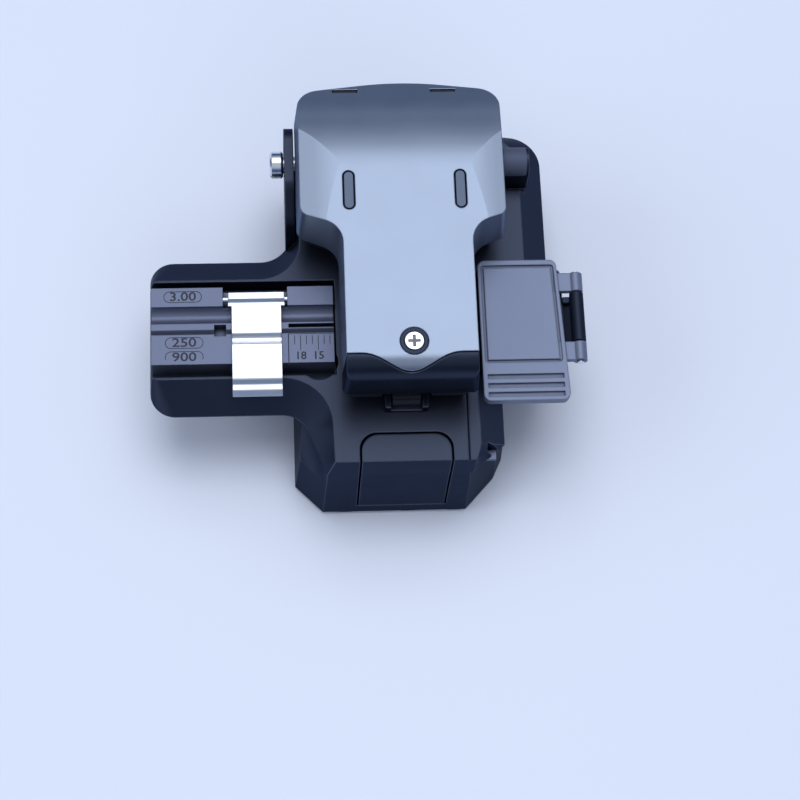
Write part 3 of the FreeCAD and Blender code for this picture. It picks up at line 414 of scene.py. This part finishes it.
LID = coated("lid_satin_grey", (0.16, 0.185, 0.265), (0.195, 0.22, 0.31),
             (0.30, 0.33, 0.43), 0.38, metal=0.45, radius=0.3, grazing=DULL, crevice_shade=0.5)
BIN = coated("bin_black", (0.022, 0.029, 0.048), (0.030, 0.038, 0.060),
             (0.10, 0.12, 0.18), 0.42, metal=0.8, grazing=DULL)
INLAY = coated("inlay_grey", (0.060, 0.088, 0.145), (0.078, 0.11, 0.18),
               (0.12, 0.15, 0.22), 0.33, radius=0.15)
RUBBER = coated("rubber_black", (0.010, 0.010, 0.011), (0.018, 0.018, 0.02),
                (0.03, 0.03, 0.03), 0.8, radius=0.15, bump=0.35)
print("coated:", [m.name for m in bpy.data.materials])

# %% [markdown]
# Bare metal
#
# The clip, the pins and the blade have no coat, so their colour is the metal's own and their
# sheen follows the scratches instead of the handling patches.
# %% Function: bare metal
SCRATCH_DEPTH = 0.00003


def bare_metal(name, tone, rough, across, bump=0.1, radius=0.15):
    """Material for uncoated steel; across gives the fineness of its scratches along X, Y, Z."""
    material = bpy.data.materials.new(name)
    material.use_nodes = True
    tree = material.node_tree
    link = tree.links.new
    shader = tree.nodes["Principled BSDF"]
    shader.inputs["Metallic"].default_value = 1.0
    edges = node_at(tree, "ShaderNodeGroup", -900, 200, node_tree=soft_edges)
    edges.inputs["Radius"].default_value = radius * MM
    marks = node_at(tree, "ShaderNodeGroup", -900, -400, node_tree=grain)
    scratches = node_at(tree, "ShaderNodeGroup", -900, -100, node_tree=brushed)
    for axis, value in zip("XYZ", across):
        scratches.inputs["Across " + axis].default_value = value
    tones = node_at(tree, "ShaderNodeMix", -600, 0, data_type="RGBA")
    tones.inputs["A"].default_value = (*[c * 0.88 for c in tone], 1)
    tones.inputs["B"].default_value = (*tone, 1)
    link(marks.outputs["Patch"], tones.inputs["Factor"])
    link(tones.outputs["Result"], shader.inputs["Base Color"])
    gloss = node_at(tree, "ShaderNodeMapRange", -350, -200)
    gloss.inputs["To Min"].default_value = rough * 0.8
    gloss.inputs["To Max"].default_value = rough * 1.2
    link(scratches.outputs["Height"], gloss.inputs["Value"])
    link(gloss.outputs["Result"], shader.inputs["Roughness"])
    relief = node_at(tree, "ShaderNodeBump", -350, -450)
    relief.inputs["Strength"].default_value = bump
    relief.inputs["Distance"].default_value = SCRATCH_DEPTH
    link(scratches.outputs["Height"], relief.inputs["Height"])
    link(edges.outputs["Normal"], relief.inputs["Normal"])
    link(relief.outputs["Normal"], shader.inputs["Normal"])
    return material


CLIP_STEEL = bare_metal("clip_spring_steel", (0.93, 0.94, 0.97), 0.37, (60, 3000, 3000))
NICKEL = bare_metal("bright_nickel", (0.84, 0.85, 0.90), 0.20, (40, 2500, 2500))
BLADE_STEEL = bare_metal("ground_blade", (0.62, 0.63, 0.66), 0.16, (3000, 300, 300))
print("materials:", len(bpy.data.materials))

# %% [markdown]
# Which piece wears which coat
#
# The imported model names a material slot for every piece, so a small table from slot to
# finish dresses them all. A few pieces that share a slot differ in the real tool: they are
# named one by one after it.
# %% Dress the pieces
BY_SLOT = {
    "housing": CASTING, "lacquer": LACQUER, "cap_black": CAP, "frame_black": FRAME,
    "rail_grey": RAIL, "clip_steel": CLIP_STEEL, "bright_steel": NICKEL,
    "blade_steel": BLADE_STEEL, "inlay": INLAY, "rubber": RUBBER, "lid_grey": LID,
    "bin_black": BIN,
}
APART = {"latch_tongue": FRAME, "catch_block": CASTING, "screw_collar": CAP,
         "lock_slide": RAIL}
for part in frame["record"]["subparts"]:
    piece = nodes[part["node"]]
    piece.data.materials.clear()
    piece.data.materials.append(APART.get(part["node"], BY_SLOT[part["material_slot"]]))

# %% [markdown]
# Engraved marks on the rail
#
# The rail tells which coating goes into which groove: 3.00 for a jacketed cord, 250 and 900
# for the coated fibre, each in a pill-shaped frame. Engraving could be cut into the mesh, but
# the strokes are about 0.13 mm wide; filled engraving reads as a darker, flush line. So the
# strokes are thin plates of filling that stand a hundredth of a millimetre proud.
# %% Material and helper for the filling
FILLING = coated("engraving_filling", (0.016, 0.018, 0.028), (0.024, 0.027, 0.04),
                 (0.03, 0.03, 0.05), 0.6, radius=0.02, bump=0.2)
PROUD = 0.012
SUNK = 0.02
FONT_SIZE_SHARE = 1.4
THICKER_STROKE = 0.03
HALF_PILL_CUT = 0.2


def finish_piece(piece, name, material, body):
    """Name a new piece, put its place into its mesh, and say what carries it."""
    select_none()
    piece.select_set(True)
    bpy.context.view_layer.objects.active = piece
    bpy.ops.object.transform_apply(location=True, rotation=True, scale=True)
    piece.name = name
    piece.data.name = name
    piece.data.materials.clear()
    piece.data.materials.append(material)
    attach(piece, body)
    return piece


# %% Function: text as flush filling
def engraved(name, words, x, y, z, height, stretch=1.0):
    """Words as thin filling on a level face, centred on (x, y), in millimetres."""
    select_none()
    bpy.ops.object.text_add(location=mm(x, y, z - SUNK))
    label = bpy.context.object
    label.data.body = words
    label.data.size = height * MM * FONT_SIZE_SHARE
    label.data.align_x = "CENTER"
    label.data.align_y = "CENTER"
    label.data.extrude = (SUNK + PROUD) / 2 * MM
    label.data.offset = THICKER_STROKE * MM
    label.data.resolution_u = 3
    label.location.z += (SUNK + PROUD) / 2 * MM
    label.scale.x = stretch
    bpy.ops.object.convert(target="MESH")
    return finish_piece(bpy.context.object, name, FILLING, "base")


# %% Function: pill-shaped frame
def pill(name, x, y, z, length, height, stroke, half=False):
    """Thin frame line in the shape of a pill, centred on (x, y); half keeps its upper part."""
    select_none()
    bpy.ops.mesh.primitive_circle_add(vertices=40, radius=height / 2 * MM, fill_type="NGON",
                                      location=mm(x, y, z - SUNK))
    piece = bpy.context.object
    reach = (length - height) / 2 * MM
    for point in piece.data.vertices:
        side = 1 if point.co.x > 0 else -1
        point.co.x += side * reach
    bpy.ops.object.mode_set(mode="EDIT")
    bpy.ops.mesh.select_all(action="SELECT")
    bpy.ops.mesh.inset(thickness=stroke * MM)
    bpy.ops.mesh.delete(type="FACE")
    if half:
        bpy.ops.mesh.select_all(action="SELECT")
        bpy.ops.mesh.bisect(plane_co=mm(x, y - height * HALF_PILL_CUT, z),
                            plane_no=(0, 1, 0), clear_inner=True)
    bpy.ops.mesh.select_all(action="SELECT")
    bpy.ops.mesh.extrude_region_move(
        TRANSFORM_OT_translate={"value": (0, 0, (SUNK + PROUD) * MM)})
    bpy.ops.mesh.select_all(action="SELECT")
    bpy.ops.mesh.normals_make_consistent(inside=False)
    bpy.ops.object.mode_set(mode="OBJECT")
    return finish_piece(piece, name, FILLING, "base")


BLOCK_TOP = rail_high[2]
PLATE_TOP = ruler_high[2]
PILL_X = rail_low[0] + 5.4
PLATE_SHIFT = 0.2
DIGIT_HEIGHT = 1.6
PILL_LENGTH, PILL_HEIGHT, PILL_STROKE = 6.5, 2.1, 0.13
for words, x, text_y, frame_y, top, stretch, half in (
        ("3.00", PILL_X, 6.35, 6.35, BLOCK_TOP, 1.2, False),
        ("250", PILL_X + PLATE_SHIFT, -1.9, -1.9, PLATE_TOP, 1.25, False),
        ("900", PILL_X + PLATE_SHIFT, -4.5, -4.45, PLATE_TOP, 1.25, True)):
    label = words.replace(".", "")
    engraved("mark_" + label, words, x, text_y, top, DIGIT_HEIGHT, stretch)
    pill("frame_" + label, x, frame_y, top, PILL_LENGTH, PILL_HEIGHT, PILL_STROKE, half)
print("groove marks at x", round(PILL_X, 2), "mm")

# %% [markdown]
# The length ruler
#
# A stop ruler beside the blade counts the length of bare fibre from the blade, so the mark
# for 18 mm lies 18 mm to the left of it. Every third mark is long and carries its number.
# Each mark is a thin bar with softened ends, placed by counting millimetres.
# %% Ruler marks
TICK = 0.13
TICK_SOFT_SHARE = 0.3
FIRST_MARK, LAST_MARK = 13, 19
NUMBER_EVERY = 3
LONG_MARK, SHORT_MARK = 2.7, 1.6
MARK_INSET, NUMBER_INSET = 0.3, 4.0
NUMBER_HEIGHT = 1.4
for distance in range(FIRST_MARK, LAST_MARK + 1):
    numbered = distance % NUMBER_EVERY == 0
    length = LONG_MARK if numbered else SHORT_MARK
    select_none()
    bpy.ops.mesh.primitive_cube_add(size=1, location=mm(
        -distance, ruler_high[1] - MARK_INSET - length / 2, PLATE_TOP + (PROUD - SUNK) / 2))
    tick = bpy.context.object
    tick.scale = mm(TICK, length, PROUD + SUNK)
    bpy.ops.object.transform_apply(location=False, rotation=False, scale=True)
    soften = tick.modifiers.new("soften", "BEVEL")
    soften.width = TICK * TICK_SOFT_SHARE * MM
    soften.segments = 2
    bpy.ops.object.modifier_apply(modifier="soften")
    finish_piece(tick, "ruler_mark_%d" % distance, FILLING, "base")
    if numbered:
        engraved("ruler_number_%d" % distance, str(distance), -distance,
                 ruler_high[1] - NUMBER_INSET, PLATE_TOP, NUMBER_HEIGHT)
print("ruler marks from", FIRST_MARK, "to", LAST_MARK, "mm, plate from", ruler_low[0])

# %% [markdown]
# The head of the clip and the painted shade in the rear slots
#
# Where the clip's sheet is rolled round its pin, the top of the roll is pressed flat, and
# that flat strip is the first bright band on the clip. In the lever's rear slope sit two
# narrow slots, and a black bar in each paints the shade inside the slot; a small web stiffens
# the hinge arm of the bin. All are short bars with softened edges, so one helper makes them.
# The height for a shade bar is measured by a ray that falls on the slot's floor.
# %% Function: soft bar
def soft_bar(name, low, high, soft, material, body):
    """A bar between two corners in millimetres, with rounded edges."""
    select_none()
    centre = [(a + b) / 2 for a, b in zip(low, high)]
    bpy.ops.mesh.primitive_cube_add(size=1, location=mm(*centre))
    bar = bpy.context.object
    bar.scale = mm(*[b - a for a, b in zip(low, high)])
    bpy.ops.object.transform_apply(location=False, rotation=False, scale=True)
    rounding = bar.modifiers.new("rounding", "BEVEL")
    rounding.width = soft * MM
    rounding.segments = 3
    bpy.ops.object.modifier_apply(modifier="rounding")
    return finish_piece(bar, name, material, body)


# %% Clip head, painted slot shade and hinge web
clip_low, clip_high = corners("fibre_clip")
pin_low, pin_high = corners("clip_hinge_pin")
pin_y = (pin_low[1] + pin_high[1]) / 2
roll_r = clip_high[1] - pin_y
roll_top = (pin_low[2] + pin_high[2]) / 2 + roll_r
HEAD_INSET = 0.02
HEAD_FRONT, HEAD_BACK = 1.1, 0.9
HEAD_SUNK, HEAD_PROUD = 0.2, 0.14
HEAD_SOFT = 0.12
soft_bar("clip_head",
         (clip_low[0] + HEAD_INSET, pin_y - HEAD_FRONT, roll_top - HEAD_SUNK),
         (clip_high[0] - HEAD_INSET, pin_y + HEAD_BACK, roll_top + HEAD_PROUD),
         HEAD_SOFT, CLIP_STEEL, "clip")
# Black bars in the two rear slots paint the shade inside them.
SLOT_Y = 39.1
SLOT_X = {"left": -9.6, "right": 7.2}
SLOT_HALF_LENGTH, SLOT_HALF_WIDTH = 2.1, 0.33
SHADE_BAR_SUNK, SHADE_BAR_RISE, SHADE_BAR_SOFT = 0.1, 0.5, 0.1
RAY_START_Z = 60
for side, slot_x in SLOT_X.items():
    ray = nodes["lever_cover"].ray_cast(mm(slot_x, SLOT_Y, RAY_START_Z), (0, 0, -1))
    floor_z = ray[1].z / MM
    soft_bar("rear_slot_shade_" + side,
             (slot_x - SLOT_HALF_LENGTH, SLOT_Y - SLOT_HALF_WIDTH, floor_z - SHADE_BAR_SUNK),
             (slot_x + SLOT_HALF_LENGTH, SLOT_Y + SLOT_HALF_WIDTH, floor_z + SHADE_BAR_RISE),
             SHADE_BAR_SOFT, FRAME, "lever")
    print("slot", side, "floor at", round(floor_z, 2), "mm")

WEB_LOW, WEB_HIGH = (26.9, 3.6, 27.3), (28.6, 4.75, 28.6)
WEB_SOFT = 0.2
soft_bar("hinge_web", WEB_LOW, WEB_HIGH, WEB_SOFT, BIN, "bin")
print("hinge web from", WEB_LOW, "to", WEB_HIGH, "mm")

# %% [markdown]
# The cross in the screw head
#
# The recess of a cross-head screw lies in shade. Two crossed dark grey bars, a hair proud
# of the head, paint that shade. They are laid one above the other by a hundredth of a
# millimetre, so that their tops never share a plane.
# %% Screw cross
# Painted shade: dark grey bars stand for the shade inside the cross recess.
CROSS_SHADE = bare_metal("painted_screw_recess_shade", (0.20, 0.21, 0.23), 0.50, (40, 2500, 2500))
screw_low, screw_high = corners("cover_screw")
cross_x = (screw_low[0] + screw_high[0]) / 2
cross_y = (screw_low[1] + screw_high[1]) / 2
ARM, HALF_WIDTH = 0.95, 0.26
CROSS_SUNK, CROSS_SOFT = 0.2, 0.05
for name, half_x, half_y, proud in (("across", ARM, HALF_WIDTH, 0.02),
                                    ("along", HALF_WIDTH, ARM, 0.03)):
    soft_bar("screw_cross_" + name,
             (cross_x - half_x, cross_y - half_y, screw_high[2] - CROSS_SUNK),
             (cross_x + half_x, cross_y + half_y, screw_high[2] + proud),
             CROSS_SOFT, CROSS_SHADE, "lever")
print("screw cross at", round(cross_x, 2), round(cross_y, 2), "mm")

# %% [markdown]
# The sleeve of the hinge
#
# The right end of the hinge pin runs in a barrel on the casting, and its sleeve is blasted
# to a lighter, rougher grey than the rest. It is a cylinder laid along the pin, a hair wider
# than the barrel, with both rims rounded over.
# %% Hinge sleeve
SLEEVE_GREY = coated("hinge_sleeve_grey", (0.085, 0.100, 0.150), (0.105, 0.122, 0.180),
                     (0.20, 0.22, 0.30), 0.55, metal=0.35, radius=0.2, grazing=DULL)
hinge_low, hinge_high = corners("lever_hinge_pin")
axis_y = (hinge_low[1] + hinge_high[1]) / 2
axis_z = (hinge_low[2] + hinge_high[2]) / 2
SLEEVE_R = 2.53
SLEEVE_START_X, SLEEVE_PAST_PIN = 17.35, 1.23
SLEEVE_ROUNDING = 0.7
SMOOTH_ANGLE = 0.6
sleeve_x0, sleeve_x1 = SLEEVE_START_X, hinge_high[0] + SLEEVE_PAST_PIN
select_none()
bpy.ops.mesh.primitive_cylinder_add(
    vertices=48, radius=SLEEVE_R * MM, depth=(sleeve_x1 - sleeve_x0) * MM,
    rotation=(0, math.pi / 2, 0), location=mm((sleeve_x0 + sleeve_x1) / 2, axis_y, axis_z))
sleeve = bpy.context.object
bpy.ops.object.transform_apply(location=False, rotation=True, scale=True)
rounding = sleeve.modifiers.new("rounding", "BEVEL")
rounding.width = SLEEVE_ROUNDING * MM
rounding.segments = 4
bpy.ops.object.modifier_apply(modifier="rounding")
bpy.ops.object.shade_smooth_by_angle(angle=SMOOTH_ANGLE)
finish_piece(sleeve, "hinge_sleeve", SLEEVE_GREY, "base")
print("sleeve from", round(sleeve_x0, 1), "to", round(sleeve_x1, 1), "mm")
